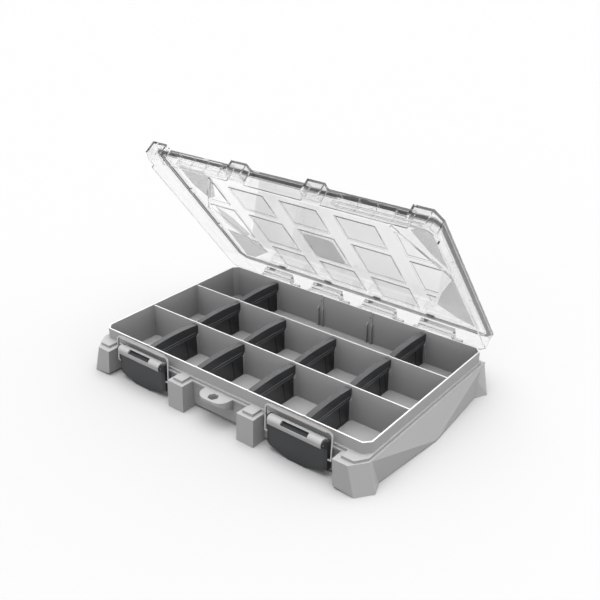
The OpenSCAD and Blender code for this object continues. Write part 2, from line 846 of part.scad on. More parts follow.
module latch_lever() color("dimgray") {
    front = -half_y - lever_front;
    back = -half_y - lever_back;
    difference() {
        union() {
            intersection() {
                facing(front, lever_deep) lever_face();
                slab(0, rim_top) polygon([
                    [-lever_half, cheek_back_y()], [-cheek_in, front], [cheek_in, front],
                    [lever_half, cheek_back_y()], [lever_half, back], [-lever_half, back]
                ]);
            }
            intersection() {
                for (s = [-1, 1])
                    across(s * (cheek_in + lever_half) / 2, (lever_half - cheek_in) / 2) {
                        translate([-half_y - pivot_out, pivot_z])
                            circle(r = cheek_top - pivot_z);
                        translate([-half_y - pivot_out, lever_top - sink])
                            square([pivot_out - lever_back, cheek_top - lever_top - sink]);
                    }
                slab(0, rim_top) polygon([
                    [-lever_half, cheek_back_y()], [-cheek_in, -half_y - cheek_front],
                    [cheek_in, -half_y - cheek_front], [lever_half, cheek_back_y()],
                    [lever_half, back], [-lever_half, back]
                ]);
            }
        }
        facing(front + lever_t, lever_deep) lever_face(flange_t);
        translate([-lever_half + flange_t, front + lever_t, lever_top - over])
            cube([2 * (lever_half - flange_t), lever_deep, 2 * over]);
        rod(0, cheek_in + pin_bite, -half_y - pivot_out, pivot_z, lever_pin_r);
        rod(0, lever_half + over, -half_y - bail_pivot_out, bail_pivot_z, wire_r + pin_play);
    }
}

function cheek_back_y() = -half_y - cheek_back;

module latch_pin() color("silver")
    rod(0, cheek_in + pin_bite, -half_y - pivot_out, pivot_z, lever_pin_r);

// One half of the bail: stub in the lever, leg, bend and half of the top bar
module bail_half_wire() {
    bend = bail_bend + wire_r;
    stub = lever_half - flange_t - sink;
    straight = bail_half - bend;
    taper = bail_bar_r;
    rotate([0, 90, 0]) translate([0, 0, stub]) cylinder(h = bail_half - stub, r = wire_r);
    translate([bail_half, 0, 0]) sphere(r = wire_r);
    translate([bail_half, 0, 0]) cylinder(h = bail_len - bend, r = wire_r);
    translate([straight, 0, bail_len - bend]) rotate([90, 0, 0])
        rotate_extrude(angle = 90) translate([bend, 0]) circle(r = wire_r);
    translate([0, 0, bail_len]) rotate([0, 90, 0]) {
        cylinder(h = straight - taper, r = bail_bar_r);
        translate([0, 0, straight - taper]) cylinder(h = taper, r1 = bail_bar_r, r2 = wire_r);
    }
}

module latch_bail() color("silver")
    translate([0, -half_y - bail_pivot_out, bail_pivot_z])
        rotate([-bail_lean, 0, 0]) both_sides() bail_half_wire();

// A divider's face, drawn as (y, z) from the compartment floor, for half length l
module divider_beam(l) {
    low = divider_end - beam_deep;
    radius = (l * l + divider_rise * divider_rise) / (2 * divider_rise);
    intersection() {
        polygon([
            [-l, low + beam_slant], [-l + rib_out, low], [l - rib_out, low],
            [l, low + beam_slant], [l, divider_end + divider_rise],
            [-l, divider_end + divider_rise]
        ]);
        translate([0, divider_end + divider_rise - radius]) circle(r = radius, $fn = 360);
    }
}

module divider(row, i) color("dimgray") {
    l = row_w / 2 - divider_gap;
    inner = l - rib_out;
    low = divider_end - beam_deep;
    band = beam_deep - beam_slant - face_border;
    translate([divider_x(i), row_y(row), floor_z]) difference() {
        union() {
            across(0, beam_t / 2) divider_beam(l);
            across(0, web_t / 2) translate([-inner, 0]) square([2 * inner, low + sink]);
            across(0, tongue_t / 2) translate([-l, 0])
                square([2 * l, rib_high - rib_slant]);
        }
        for (s = [-1, 1]) {
            across(s * beam_t / 2, face_recess)
                translate([-inner, divider_end - face_border - band])
                    square([2 * inner, band]);
            across(s * web_t / 2, face_recess) polygon([
                [-inner + face_border, face_border], [inner - face_border, face_border],
                [inner - 3 * face_border, low - face_border],
                [-inner + 3 * face_border, low - face_border]
            ]);
        }
    }
}

base_tray();
lid_shell();
lid_seal();
hinge_pin(1);  // hinge_pin_1
hinge_pin(2);  // hinge_pin_2
hinge_pin(3);  // hinge_pin_3
hinge_pin(4);  // hinge_pin_4
translate([-latch_x, 0, 0]) latch_lever();  // left_latch_lever
translate([-latch_x, 0, 0]) latch_pin();  // left_latch_pin
translate([-latch_x, 0, 0]) latch_bail();  // left_latch_bail
translate([latch_x, 0, 0]) latch_lever();  // right_latch_lever
translate([latch_x, 0, 0]) latch_pin();  // right_latch_pin
translate([latch_x, 0, 0]) latch_bail();  // right_latch_bail
divider(0, 1);  // divider_front_1
divider(0, 2);  // divider_front_2
divider(0, 3);  // divider_front_3
divider(0, 4);  // divider_front_4
divider(1, 1);  // divider_middle_1
divider(1, 2);  // divider_middle_2
divider(1, 3);  // divider_middle_3
divider(1, 4);  // divider_middle_4
divider(2, 1);  // divider_back_1
divider(2, 4);  // divider_back_4
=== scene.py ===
# %% [markdown]
# # A parts case with a clear lid
#
# This lesson dresses a flat storage case: a pale grey moulded tray, ten dark dividers that lift
# out, two dark latches with wire bails, and a clear lid that stands open. The solid pieces come
# ready made from CAD. Blender adds the finishes, the small moulded details, the light and the
# camera. Blender's own lengths are in metres. The sizes of the small pieces are written in
# millimetres and multiplied by MM. The tray's front faces -Y.

import json
from math import cos, pi, radians, sin

import bmesh
import bpy
from mathutils import Matrix, Vector


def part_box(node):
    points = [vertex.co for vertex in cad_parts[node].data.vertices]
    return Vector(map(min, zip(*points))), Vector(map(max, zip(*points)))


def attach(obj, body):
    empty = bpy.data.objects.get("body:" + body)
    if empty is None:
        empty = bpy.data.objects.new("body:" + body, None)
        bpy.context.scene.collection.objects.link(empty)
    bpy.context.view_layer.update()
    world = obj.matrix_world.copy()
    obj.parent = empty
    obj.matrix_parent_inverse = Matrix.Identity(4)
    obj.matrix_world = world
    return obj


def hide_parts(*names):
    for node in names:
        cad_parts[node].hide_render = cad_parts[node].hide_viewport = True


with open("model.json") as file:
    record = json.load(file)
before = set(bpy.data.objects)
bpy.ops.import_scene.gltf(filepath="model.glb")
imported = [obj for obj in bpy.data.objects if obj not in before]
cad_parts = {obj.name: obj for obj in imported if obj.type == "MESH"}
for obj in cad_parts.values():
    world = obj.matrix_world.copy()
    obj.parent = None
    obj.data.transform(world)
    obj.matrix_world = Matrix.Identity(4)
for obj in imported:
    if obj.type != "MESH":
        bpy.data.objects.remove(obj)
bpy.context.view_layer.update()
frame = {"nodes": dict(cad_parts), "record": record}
scene = bpy.context.scene
MM = 0.001

# %% [markdown]
# ## Camera
#
# A product photograph of a small object is taken with a longish lens from above and to one side.
# The camera could be aimed with a Track To constraint, but a matrix built from three axes also
# fixes the slight roll, so the view is the same every time. The focal length is a share of the
# frame's width, and the sensor's width turns it into millimetres.

# %% Place the camera
AZIMUTH, ELEVATION, ROLL = radians(38.67), radians(26.30), radians(-0.15)
CAMERA_AT = (0.4564, -0.5521, 0.4394)
SENSOR, NEAREST = 36.0, 0.01
FOCAL_SHARE = 808.2 / 600

back = Vector((sin(AZIMUTH) * cos(ELEVATION), -cos(AZIMUTH) * cos(ELEVATION), sin(ELEVATION)))
right = Vector((cos(AZIMUTH), sin(AZIMUTH), 0))
up = back.cross(right)
right_rolled = cos(ROLL) * right + sin(ROLL) * up
up_rolled = -sin(ROLL) * right + cos(ROLL) * up

camera = bpy.data.objects.new("camera", bpy.data.cameras.new("camera"))
camera.data.sensor_width = SENSOR
camera.data.lens = SENSOR * FOCAL_SHARE
camera.data.clip_start = NEAREST
camera.matrix_world = Matrix.Translation(CAMERA_AT) @ Matrix(
    (right_rolled, up_rolled, back)).transposed().to_4x4()
scene.collection.objects.link(camera)
scene.camera = camera
scene.view_settings.view_transform = "Standard"
print("lens", round(camera.data.lens, 2), "mm")

# %% [markdown]
# ## Shader maths in plain Python
#
# A shader is a graph of nodes, and wiring sums by hand hides what they mean. A small class can
# wrap a socket so that `1 - mask * 0.5` adds the Math nodes itself.


# %% Wrap a socket
class Value:
    """The output of a node, which Python operators turn into Math nodes."""

    def __init__(self, finish, socket):
        self.finish, self.socket = finish, socket

    def math(self, operation, first, second):
        made = self.finish.node("ShaderNodeMath", {"operation": operation}, {0: first, 1: second})
        return made["Value"]

    def __add__(self, other):
        return self.math("ADD", self, other)

    __radd__ = __add__

    def __sub__(self, other):
        return self.math("SUBTRACT", self, other)

    def __rsub__(self, other):
        return self.math("SUBTRACT", other, self)

    def __mul__(self, other):
        return self.math("MULTIPLY", self, other)

    __rmul__ = __mul__

    def at_least(self, other):
        return self.math("MAXIMUM", self, other)

    def at_most(self, other):
        return self.math("MINIMUM", self, other)


print("a value can be added, subtracted, multiplied and limited")

# %% [markdown]
# ## One method for every other node
#
# Materials and the world both hold a tree of nodes. Each node could be added and linked with
# lines of its own, but a dictionary of its inputs shows at a glance what feeds what. One method
# adds a node, sets its settings first and then its inputs, and returns what comes out of it.


# %% Build node trees
def grey(level):
    return (level, level, level, 1.0)


class Finish:
    """A node tree, of a material or of the world."""

    def __init__(self, owner):
        owner.use_nodes = True
        self.owner, self.tree = owner, owner.node_tree
        self.tree.nodes.clear()

    def feed(self, socket, value):
        if isinstance(value, Value):
            self.tree.links.new(value.socket, socket)
        else:
            socket.default_value = value

    def node(self, kind, settings=None, inputs=None):
        made = self.tree.nodes.new(kind)
        for name, value in (settings or {}).items():
            if name == "stops":
                while len(made.color_ramp.elements) < len(value):
                    made.color_ramp.elements.new(1.0)
                for stop, (place, level) in zip(made.color_ramp.elements, value):
                    stop.position, stop.color = place, grey(level)
            else:
                setattr(made, name, value)
        for name, value in (inputs or {}).items():
            self.feed(made.inputs[name], value)
        return {out.name: Value(self, out) for out in reversed(made.outputs)}

    def mix_colour(self, factor, first, second):
        made = self.tree.nodes.new("ShaderNodeMix")
        made.data_type = "RGBA"
        for name, value in (("Factor_Float", factor), ("A_Color", first), ("B_Color", second)):
            self.feed(next(s for s in made.inputs if s.identifier == name), value)
        return Value(self, next(s for s in made.outputs if s.identifier == "Result_Color"))

    def mix_shader(self, factor, first, second):
        return self.node("ShaderNodeMixShader", None, {0: factor, 1: first, 2: second})["Shader"]

    def matt(self, colour):
        return self.node("ShaderNodeBsdfDiffuse", None, {"Color": colour})["BSDF"]

    def glow(self, colour, strength):
        return self.node("ShaderNodeBackground", None,
                         {"Color": colour, "Strength": strength})["Background"]

    def end(self, shader):
        kind = "ShaderNodeOutputWorld" if isinstance(self.owner, bpy.types.World) \
            else "ShaderNodeOutputMaterial"
        self.node(kind, None, {"Surface": shader})
        return self.owner


print("a middle grey:", grey(0.5))

# %% [markdown]
# ## Floor, background and light
#
# The studio is a white dome over a white floor. The light is strongest overhead, softer from low
# at the back and the front and faint from the right, so each face of the case has its own shade,
# and the low light stays out of the compartments. A lamp would fade towards the far floor. A
# world whose strength follows the direction lights the whole floor evenly. For the camera,
# reflections and clear parts the dome is plain white, a little greyer near its top, and the floor
# is paler than the one that throws light back at the case.

# %% Build the world and the floor
LIGHT_ABOVE, LIGHT_RIGHT, LIGHT_FRONT, LIGHT_BACK = 6.6, 0.96, 2.0, 2.1
SKY_SEEN = [(0.0, 1.0), (0.6, 1.0), (0.85, 0.55)]
FLOOR_SEEN, FLOOR_BOUNCE, FLOOR_REACH = 0.475, 0.02, 6.0


def looked_at(finish):
    path = finish.node("ShaderNodeLightPath")
    return path["Is Camera Ray"].at_least(path["Is Glossy Ray"]).at_least(
        path["Is Transmission Ray"])


world = Finish(bpy.data.worlds.new("studio"))
direction = world.node("ShaderNodeSeparateXYZ", None,
                       {"Vector": world.node("ShaderNodeTexCoord")["Generated"]})
above = direction["Z"].at_least(0.0)
overhead = above * above * above
sides = (direction["X"].at_least(0.0) * LIGHT_RIGHT
         + (direction["Y"] * -1.0).at_least(0.0) * LIGHT_FRONT
         + direction["Y"].at_least(0.0) * LIGHT_BACK)
strength = overhead * overhead * LIGHT_ABOVE + (1.0 - above) * sides
sky = world.node("ShaderNodeValToRGB", {"stops": SKY_SEEN}, {"Fac": direction["Z"]})["Color"]
scene.world = world.end(world.mix_shader(
    looked_at(world), world.glow(grey(1.0), strength), world.glow(sky, 1.0)))

paint = Finish(bpy.data.materials.new("studio_floor"))
floor_paint = paint.end(paint.mix_shader(
    looked_at(paint), paint.matt(grey(FLOOR_BOUNCE)), paint.matt(grey(FLOOR_SEEN))))

floor_mesh = bpy.data.meshes.new("floor")
floor_mesh.from_pydata([(-FLOOR_REACH, -FLOOR_REACH, 0), (FLOOR_REACH, -FLOOR_REACH, 0),
                        (FLOOR_REACH, FLOOR_REACH, 0), (-FLOOR_REACH, FLOOR_REACH, 0)],
                       [], [(0, 1, 2, 3)])
floor_mesh.materials.append(floor_paint)
floor = bpy.data.objects.new("floor", floor_mesh)
scene.collection.objects.link(floor)
print("floor reaches", FLOOR_REACH, "m")

# %% [markdown]
# ## A moulded plastic
#
# Injection moulded plastic has a fine matt grain. An image texture could carry the grain, but
# procedural noise has no seams and no end. A weak bump gives the grain, and a broad noise varies
# the colour and the roughness slightly, as on a real moulding. No moulded edge is knife sharp. A
# bevel modifier would disturb the exact CAD mesh, so a Bevel node rounds the edges in the shading
# alone, and where it bends the surface the plastic is painted a little paler, a painted highlight
# along each edge. Two heights paint more light and shade: a plastic turns paler on faces that look
# up at the top of the tray, a painted highlight, or darker in the thin part of a divider below its
# beam, painted shade.

# %% Describe a moulded plastic
GRAIN, GRAIN_STRENGTH, GRAIN_DETAIL = 2600.0, 0.25, 2.0
PATCHES, PATCH_DETAIL, PATCH_COLOUR, PATCH_ROUGHNESS = 30.0, 1.0, 0.015, 0.08
BEVEL_SAMPLES, EDGE_GAIN = 6, 3.0
WEB_TOP, WEB_FADE = 29.4, 0.5
TOP_HIGHLIGHT_FROM, TOP_HIGHLIGHT_FADE = 40.0, 0.2


def toned(colour, share):
    return tuple(share * c for c in colour[:3]) + (1.0,)


def moulded(name, colour, roughness, grain=GRAIN, depth=0.04, edge=0.3, edge_highlight=0.2, shine=0.5,
            top_highlight=0.0, bounce=1.0, web_shade=0.0):
    """Grain is its fineness, depth and edge are in mm, and what follows them are shares."""
    made = Finish(bpy.data.materials.new(name))
    place = made.node("ShaderNodeTexCoord")["Object"]
    fine = made.node("ShaderNodeTexNoise", None,
                     {"Vector": place, "Scale": grain, "Detail": GRAIN_DETAIL})["Fac"]
    broad = made.node("ShaderNodeTexNoise", None,
                      {"Vector": place, "Scale": PATCHES, "Detail": PATCH_DETAIL})["Fac"]
    rounded = made.node("ShaderNodeBevel", {"samples": BEVEL_SAMPLES},
                        {"Radius": edge * MM})["Normal"]
    flat = made.node("ShaderNodeNewGeometry")["Normal"]
    bend = 1.0 - made.node("ShaderNodeVectorMath", {"operation": "DOT_PRODUCT"},
                           {0: rounded, 1: flat})["Value"]
    bump = made.node("ShaderNodeBump", None, {
        "Height": fine, "Strength": GRAIN_STRENGTH, "Distance": depth * MM,
        "Normal": rounded})["Normal"]
    tint = made.mix_colour(broad, toned(colour, 1 - PATCH_COLOUR), toned(colour, 1 + PATCH_COLOUR))
    # Painted highlight: the plastic is painted paler where the Bevel node bends the surface along
    # an edge.
    tint_with_painted_light = made.mix_colour((bend * EDGE_GAIN).at_most(1.0) * edge_highlight, tint, grey(1.0))
    height = made.node("ShaderNodeSeparateXYZ", None, {"Vector": place})["Z"]
    # Painted shade: below the beam the thin web is painted darker, where the beam shades it.
    if web_shade:
        below = (WEB_TOP * MM - height) * (1 / (WEB_FADE * MM))
        tint_with_painted_light = made.mix_colour(below.at_least(0.0).at_most(1.0) * web_shade, tint_with_painted_light, grey(0.0))
    # Painted highlight: faces that look up near the top of the tray are painted paler, as light
    # from above makes them.
    if top_highlight:
        level = made.node("ShaderNodeSeparateXYZ", None, {"Vector": flat})["Z"].at_least(0.0)
        top = (height - TOP_HIGHLIGHT_FROM * MM) * (1 / (TOP_HIGHLIGHT_FADE * MM))
        tint_with_painted_light = made.mix_colour(top.at_least(0.0).at_most(1.0) * level * top_highlight, tint_with_painted_light, grey(1.0))
    surface = made.node("ShaderNodeBsdfPrincipled", None, {
        "Base Color": tint_with_painted_light, "Roughness": roughness + PATCH_ROUGHNESS * (broad - 0.5),
        "Specular IOR Level": shine, "Normal": bump})["BSDF"]
    return made.end(made.mix_shader(made.node("ShaderNodeLightPath")["Is Diffuse Ray"],
                                    surface, made.matt(toned(colour, bounce))))


print("grain of about", round(1 / (GRAIN * MM), 2), "mm")

# %% [markdown]
# ## The plastics of the case
#
# The tray is one pale grey. The faces that look up at the tops of its rim and of the walls between
# the rows are painted paler, nearly white, a painted highlight. The dividers' tops get a little of
# that painted highlight too, and their thin webs below the beam are painted darker, painted shade
# under the beam. Pale walls that face each other light each other, until a small compartment looks
# flat and milky. More lamps would not cure that, so the tray is darker for diffuse rays, which
# keeps the depth between its walls.

# %% Make the plastics
TRAY, LATCH, DIVIDER = (0.35, 0.35, 0.352), (0.020, 0.022, 0.024), (0.019, 0.0205, 0.022)

# Painted highlight on the up-facing tops of the rim and of the row walls.
tray_plastic = moulded("tray_plastic", TRAY, roughness=0.42, depth=0.06, top_highlight=0.5, bounce=0.2)
# The dividers get a painted highlight on their tops and painted shade on their webs under the
# beam.
divider_plastic = moulded("divider_plastic", DIVIDER, roughness=0.30, edge=0.4, edge_highlight=0.12,
                          shine=0.8, top_highlight=0.042, web_shade=0.4)
latch_plastic = moulded("latch_plastic", LATCH, roughness=0.40, edge=0.4, edge_highlight=0.04)
# Painted highlight: the lips are five times paler than the divider, for the light they catch.
lip_highlight_plastic = moulded("lip_highlight_plastic", toned(DIVIDER, 5.0), roughness=0.30, edge=0.2, edge_highlight=0.1,
                      shine=0.8)
# Painted shade: a quarter of the divider's colour stands in for the shade inside a groove.
groove_shade_plastic = moulded("groove_shade_plastic", toned(DIVIDER, 0.25), roughness=0.60, edge=0.1,
                         edge_highlight=0.0, shine=0.2)
print("plastics:", [made.name for made in bpy.data.materials if "plastic" in made.name])

# %% [markdown]
# ## Wire, latch pins and seal
#
# The bails and the latch pins are bright drawn steel. Metal shows mostly what it reflects, so the
# finish needs only a high metallic value and a fine unevenness in its roughness. An anisotropic
# finish could draw lines along the wire, but the wire is too thin to show them. The seal is soft
# dark rubber, nearly without shine, so the moulded plastic serves with a high roughness.

# %% Make the steel and the rubber
STEEL, STEEL_GRAIN, STEEL_SMOOTHEST, STEEL_UNEVEN = (0.49, 0.48, 0.47, 1), 900.0, 0.24, 0.12
SEAL, SEAL_GRAIN = (0.07, 0.07, 0.07), 1800.0

steel = Finish(bpy.data.materials.new("drawn_steel"))
uneven = steel.node("ShaderNodeTexNoise", None, {
    "Vector": steel.node("ShaderNodeTexCoord")["Object"], "Scale": STEEL_GRAIN})["Fac"]
drawn_steel = steel.end(steel.node("ShaderNodeBsdfPrincipled", None, {
    "Base Color": STEEL, "Metallic": 1.0,
    "Roughness": STEEL_SMOOTHEST + STEEL_UNEVEN * uneven})["BSDF"])
seal_rubber = moulded("seal_rubber", SEAL, roughness=0.7, grain=SEAL_GRAIN, edge_highlight=0.02)
print("steel roughness from", STEEL_SMOOTHEST, "to", STEEL_SMOOTHEST + STEEL_UNEVEN)

# %% [markdown]
# ## The clear lid
#
# The lid is clear plastic, so its look is made of refraction: thin dark and bright lines at every
# step and edge. A real thickness in the mesh gives those lines. Clear plastic casts almost no
# shadow, but tracing that light takes many samples, so shadow rays and diffuse rays pass through
# a plain transparent shader instead. Light that has bounced many times inside the lid ought to
# leak out through its scratches and rounded edges. A perfect glass traps it and turns its edges
# black, so the share that passes straight through grows with the number of bounces.

# %% Make the clear plastic
CLEAR_TINT, CLEAR_ROUGHNESS, CLEAR_IOR = 0.98, 0.02, 1.49
SHADOW_TINT, LEAK_AFTER, LEAK_SHARE = 0.82, 4.0, 0.3

clear = Finish(bpy.data.materials.new("clear_plastic"))
glassy = clear.node("ShaderNodeBsdfPrincipled", None, {
    "Base Color": grey(CLEAR_TINT), "Roughness": CLEAR_ROUGHNESS, "IOR": CLEAR_IOR,
    "Transmission Weight": 1.0})["BSDF"]
through = clear.node("ShaderNodeBsdfTransparent", None, {"Color": grey(SHADOW_TINT)})["BSDF"]
path = clear.node("ShaderNodeLightPath")
leak = ((path["Ray Depth"] - LEAK_AFTER) * LEAK_SHARE).at_most(1.0)
clear_plastic = clear.end(clear.mix_shader(
    path["Is Shadow Ray"].at_least(path["Is Diffuse Ray"]).at_least(leak), glassy, through))
print("light leaks after", LEAK_AFTER, "bounces")

# %% [markdown]
# ## Frosted and milky plastic
#
# Parts of the lid are moulded with a grain that scatters light, and its clips and the hinge pins
# are a pale milky plastic. Rough glass could scatter the light for real, but it is noisy and
# slow. A matt grey that covers only a share of what lies behind it looks much the same.

# %% Make the frosted plastics
FROST_ROUGHNESS = 0.7


def frosted(name, level, cover):
    made = Finish(bpy.data.materials.new(name))
    return made.end(made.node("ShaderNodeBsdfPrincipled", None, {
        "Base Color": grey(level), "Roughness": FROST_ROUGHNESS, "Alpha": cover})["BSDF"])


frosted_plastic = frosted("frosted_plastic", level=0.5, cover=0.27)
satin_plastic = frosted("satin_plastic", level=0.6, cover=0.07)
clip_plastic = frosted("clip_plastic", level=0.9, cover=0.85)
print("materials:", len(bpy.data.materials))

# %% [markdown]
# ## Finish the CAD pieces
#
# Each CAD piece names the material slot it belongs to. A list of pieces would have to change with
# every new piece, while a dictionary from slot to finish covers them all. The CAD meshes stay as
# they are.

# %% Give each CAD piece its material
FINISHES = {"tray": tray_plastic, "divider": divider_plastic, "latch": latch_plastic,
            "steel": drawn_steel, "seal": seal_rubber, "lid": clear_plastic,
            "pin": clip_plastic}

for part in frame["record"]["subparts"]:
    piece = frame["nodes"][part["node"]]
    piece.data.materials.clear()
    piece.data.materials.append(FINISHES[part["material_slot"]])
print("finished", len(frame["nodes"]), "CAD pieces")

# %% [markdown]
# ## Helpers for small solid pieces
#
# Most of the small details are flat plates with an outline. They could be cubes that are scaled
# and turned, but an outline also takes slanted ends. One function joins two outlines into a
# closed solid, one turns a finished mesh into a piece with its material and its body, and the
# third extrudes an outline along an axis with the help of both.


# %% Extrude an outline
def oblong(left, right, low, high):
    return [(left, low), (right, low), (right, high), (left, high)]


def prism(mesh, near, far):
    """Add a closed solid between two outlines of equally many corners, in mm."""
    near, far = [[mesh.verts.new(Vector(corner) * MM) for corner in loop] for loop in (near, far)]
    mesh.faces.new(near)
    mesh.faces.new(far)
    for i in range(len(near)):
        j = (i + 1) % len(near)
        mesh.faces.new((near[i], near[j], far[j], far[i]))


def add_piece(name, mesh, material, body, place=None):
    bmesh.ops.recalc_face_normals(mesh, faces=mesh.faces)
    if place:
        mesh.transform(place)
    data = bpy.data.meshes.new(name)
    mesh.to_mesh(data)
    mesh.free()
    data.materials.append(material)
    made = bpy.data.objects.new(name, data)
    scene.collection.objects.link(made)
    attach(made, body)
    return made


def plate(name, outline, low, high, material, body, axis="Z", place=None):
    """A plate with the outline's two coordinates in mm, from low to high along an axis."""
    mesh = bmesh.new()
    prism(mesh, *([{"X": (c, a, b), "Y": (a, c, b), "Z": (a, b, c)}[axis] for a, b in outline]
                  for c in (low, high)))
    return add_piece(name, mesh, material, body, place)


print("an oblong's corners:", oblong(0, 2, 0, 1))

# %% [markdown]
# ## Small things on the tray
#
# Each latch bar has a slot, and the dark latch shows inside it. A channel of dark latch plastic
# with a floor and a back, drawn round the middle of the bar, is simpler than cutting the lever; it
# is the latch's own dark plastic and also painted shade for a deeper slot. On the back wall, where
# two dividers are left out, a fine raised line runs from each right rib up to the rim, beside a
# small dark disc that is painted shade for a pin hole. Both are small plates on the wall.

# %% Line the slots and mark the back wall
LATCH_X, BAR_Y, BAR_Z = 98.55, -112.4, 34.3
SLOT_HALF, SLOT_TILT = 14.75, radians(79)
CHANNEL = [(-4.0, 2.18), (-1.6, 2.18), (-1.6, -2.18), (-1.85, -2.18), (-1.85, 1.9), (-4.0, 1.9)]
COLUMN, WALL_Y, SUNK = 66.0, 98.3, 0.2
LINE_STEP, LINE_OUT, LINE_HALF, LINE_FOOT, LINE_TOP = 3.1, 0.9, 0.2, 29.8, 42.9
MARK_RADIUS, MARK_Z, MARK_OUT, MARK_CORNERS = 0.8, 36.0, 0.06, 16
SIDES = (("left", -1), ("right", 1))

for side, s in SIDES:
    turned = Matrix.Translation(Vector((s * LATCH_X, BAR_Y, BAR_Z)) * MM) @ Matrix.Rotation(
        -SLOT_TILT, 4, "X")
    # Painted shade: dark latch plastic lines the slot and stands in for the shade of a deeper
    # slot.
    plate(f"{side}_slot_shade_channel", CHANNEL, -SLOT_HALF, SLOT_HALF, latch_plastic, "tray",
          axis="X", place=turned)
for side, s in SIDES:
    x = s * COLUMN / 2
    line = x + LINE_STEP
    plate(f"{side}_wall_line", oblong(WALL_Y - LINE_OUT, WALL_Y + SUNK, LINE_FOOT, LINE_TOP),
          line - LINE_HALF, line + LINE_HALF, tray_plastic, "tray", axis="X")
    # Painted shade: a small dark disc stands in for the shade inside a pin hole.
    turns = [2 * pi * k / MARK_CORNERS for k in range(MARK_CORNERS)]
    mark = [(x + MARK_RADIUS * cos(turn), MARK_Z + MARK_RADIUS * sin(turn)) for turn in turns]
    plate(f"{side}_pin_hole_shade", mark, WALL_Y - MARK_OUT, WALL_Y + SUNK, latch_plastic,
          "tray", axis="Y")
print("slots lined:", len(SIDES), "wall lines from", LINE_FOOT, "to", LINE_TOP, "mm")

# %% [markdown]
# ## Lines on the dividers
#
# Each divider is a thick beam on a thin web. Fine lips run along the beam, one at its lower edge
# and one above, in a paler plastic that is a painted highlight for the light they catch. Two
# slanted grooves stiffen the web on each side. The grooves could be cut with a Boolean modifier.
# At this size a darker strip, painted shade for the inside of a groove, reads as a groove and
# leaves the CAD mesh whole. One mesh per divider holds its four lips and another its four painted
# groove shades.

# %% Add the lips and the painted groove shades
BEAM_SIDE, WEB_SIDE, DIVIDER_SUNK = 3.1, 2.0, 0.1
LIP_OUT, LIP_SHORTER, LIP_HEIGHTS = 0.3, 4.0, ((29.3, 29.8), (32.0, 32.5))
GROOVE_OUT, GROOVE_HALF = 0.12, 0.35
(TOP_Y, TOP_Z), (FOOT_Y, FOOT_Z) = (14.0, 28.0), (17.5, 5.5)


def strips(name, outlines, face, out, middle, material, body):
    """Strips that stand out from both sides of a divider. Outlines are (y, z) pairs in mm."""
    mesh = bmesh.new()
    x0, y0 = middle
    for side in (-1, 1):
        for outline in outlines:
            prism(mesh, *([(x0 + side * x, y0 + y, z) for y, z in outline]
                          for x in (face - DIVIDER_SUNK, face + out)))
    add_piece(name, mesh, material, body)


dividers = [node for node in frame["nodes"] if node.startswith("divider")]
# Painted shade: dark strips lie where the web's grooves would be.
groove_shades = [[(end * FOOT_Y - GROOVE_HALF, FOOT_Z), (end * FOOT_Y + GROOVE_HALF, FOOT_Z),
            (end * TOP_Y + GROOVE_HALF, TOP_Z), (end * TOP_Y - GROOVE_HALF, TOP_Z)]
           for end in (-1, 1)]
for node in dividers:
    lowest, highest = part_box(node)
    middle = [(lowest[k] + highest[k]) / 2 / MM for k in (0, 1)]
    reach = (highest[1] - lowest[1]) / 2 / MM - LIP_SHORTER
    lips = [oblong(-reach, reach, low, high) for low, high in LIP_HEIGHTS]
    strips(f"{node}_lips", lips, BEAM_SIDE, LIP_OUT, middle, lip_highlight_plastic, node)
    strips(f"{node}_grooves", groove_shades, WEB_SIDE, GROOVE_OUT, middle, groove_shade_plastic, node)
print("dividers with lines:", len(dividers))

# %% [markdown]
# ## The coils on the bails
#
# The top bar of each bail is wound with a tight sleeve of thin wire, which lets it roll over the
# lid's catch. A screw modifier would wind it from one circle. Rings of points computed along the
# helix give the same tube and keep its ends closed.

# %% Wind a coil round each bail's bar
BAIL_Y, BAIL_Z = -107.75, 45.76
COIL_HALF, COIL_PITCH, COIL_REACH, COIL_WIRE = 30.6, 1.9, 1.3, 0.7
PER_TURN, ROUND = 16, 8


def coil(name, middle, body):
    mesh = bmesh.new()
    count = int(2 * COIL_HALF / COIL_PITCH * PER_TURN)
    rings = []
    for k in range(count + 1):
        turn = 2 * pi * k / PER_TURN
        out = Vector((0, cos(turn), sin(turn)))
        centre = Vector((middle - COIL_HALF + COIL_PITCH * k / PER_TURN, BAIL_Y, BAIL_Z))
        rings.append([mesh.verts.new((centre + COIL_REACH * out + COIL_WIRE * (
            cos(2 * pi * q / ROUND) * out + Vector((sin(2 * pi * q / ROUND), 0, 0)))) * MM)
            for q in range(ROUND)])
    for first, second in zip(rings, rings[1:]):
        for q in range(ROUND):
            mesh.faces.new((first[q], first[q - 1], second[q - 1], second[q])).smooth = True
    mesh.faces.new(rings[0])
    mesh.faces.new(rings[-1][::-1])
    add_piece(name, mesh, drawn_steel, body)
    return count


for side, s in SIDES:
    print("rings in a coil:", coil(f"{side}_bail_coil", s * LATCH_X, f"{side}_bail"))

# %% [markdown]
# ## The seal
#
# The seal is a soft strip with two lips and a groove between them, and the rim presses into the
# groove when the lid is shut. The CAD strip is a plain bar. A curve with a bevel profile could
# follow the outline, but joining loops of corners keeps the mitres exact, and the front leg's
# inner lip can reach further in than the others do. Each corner of the profile is a distance from
# the rim's middle line and a height. A hair of air above the strip keeps the clear plate from
# looking black where the two would touch.

